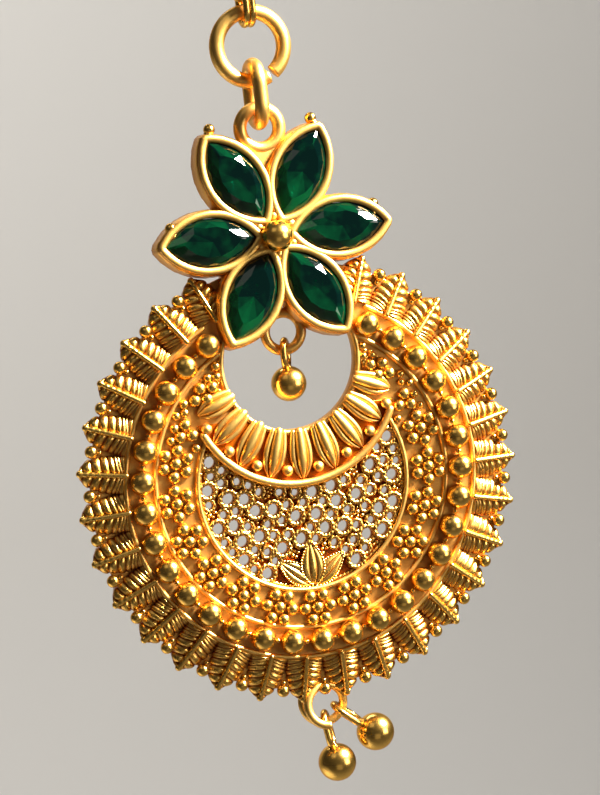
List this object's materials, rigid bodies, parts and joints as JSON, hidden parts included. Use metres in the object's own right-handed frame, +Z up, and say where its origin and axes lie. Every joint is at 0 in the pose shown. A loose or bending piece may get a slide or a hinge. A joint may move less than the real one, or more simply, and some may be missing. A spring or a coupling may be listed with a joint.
{
  "type": "maang tikka",
  "caption": "Forehead pendant of granulated gold with an open crescent disc under a flower of green marquise stones, hung by a ring and oval link from a short chain and hair hook.",
  "frame": {"origin": "hang point, inside the top of the hair hook's bend, where the jewel is held in the hair", "axes": "+Z up along the chain, -Y the way the jewel's face looks, +X to the viewer's right"},
  "size_m": [0.0388, 0.0056, 0.1235],
  "materials": {
    "gold": "satin yellow gold plating over brass, darker in the recesses",
    "emerald": "polished, deep green, faceted"
  },
  "bodies": {
    "hanger": {"hair_hook": "gold", "chain": "gold", "top_ring": "gold"},
    "link": {"oval_link": "gold"},
    "jewel": {"pendant": "gold", "stone_1": "emerald", "stone_2": "emerald", "stone_3": "emerald", "stone_4": "emerald", "stone_5": "emerald", "stone_6": "emerald", "inner_drop": "gold", "foot_drop_1": "gold", "foot_drop_2": "gold"}
  },
  "joints": [
    {"name": "link_swing", "type": "hinge", "parent": "hanger", "child": "link", "pos_m": [0, 0, -0.06156], "axis": [1, 0, 0], "range_deg": [-40, 40]},
    {"name": "jewel_swing", "type": "hinge", "parent": "link", "child": "jewel", "pos_m": [0, 0, -0.06513], "axis": [0, 1, 0], "range_deg": [-30, 30]}
  ]
}
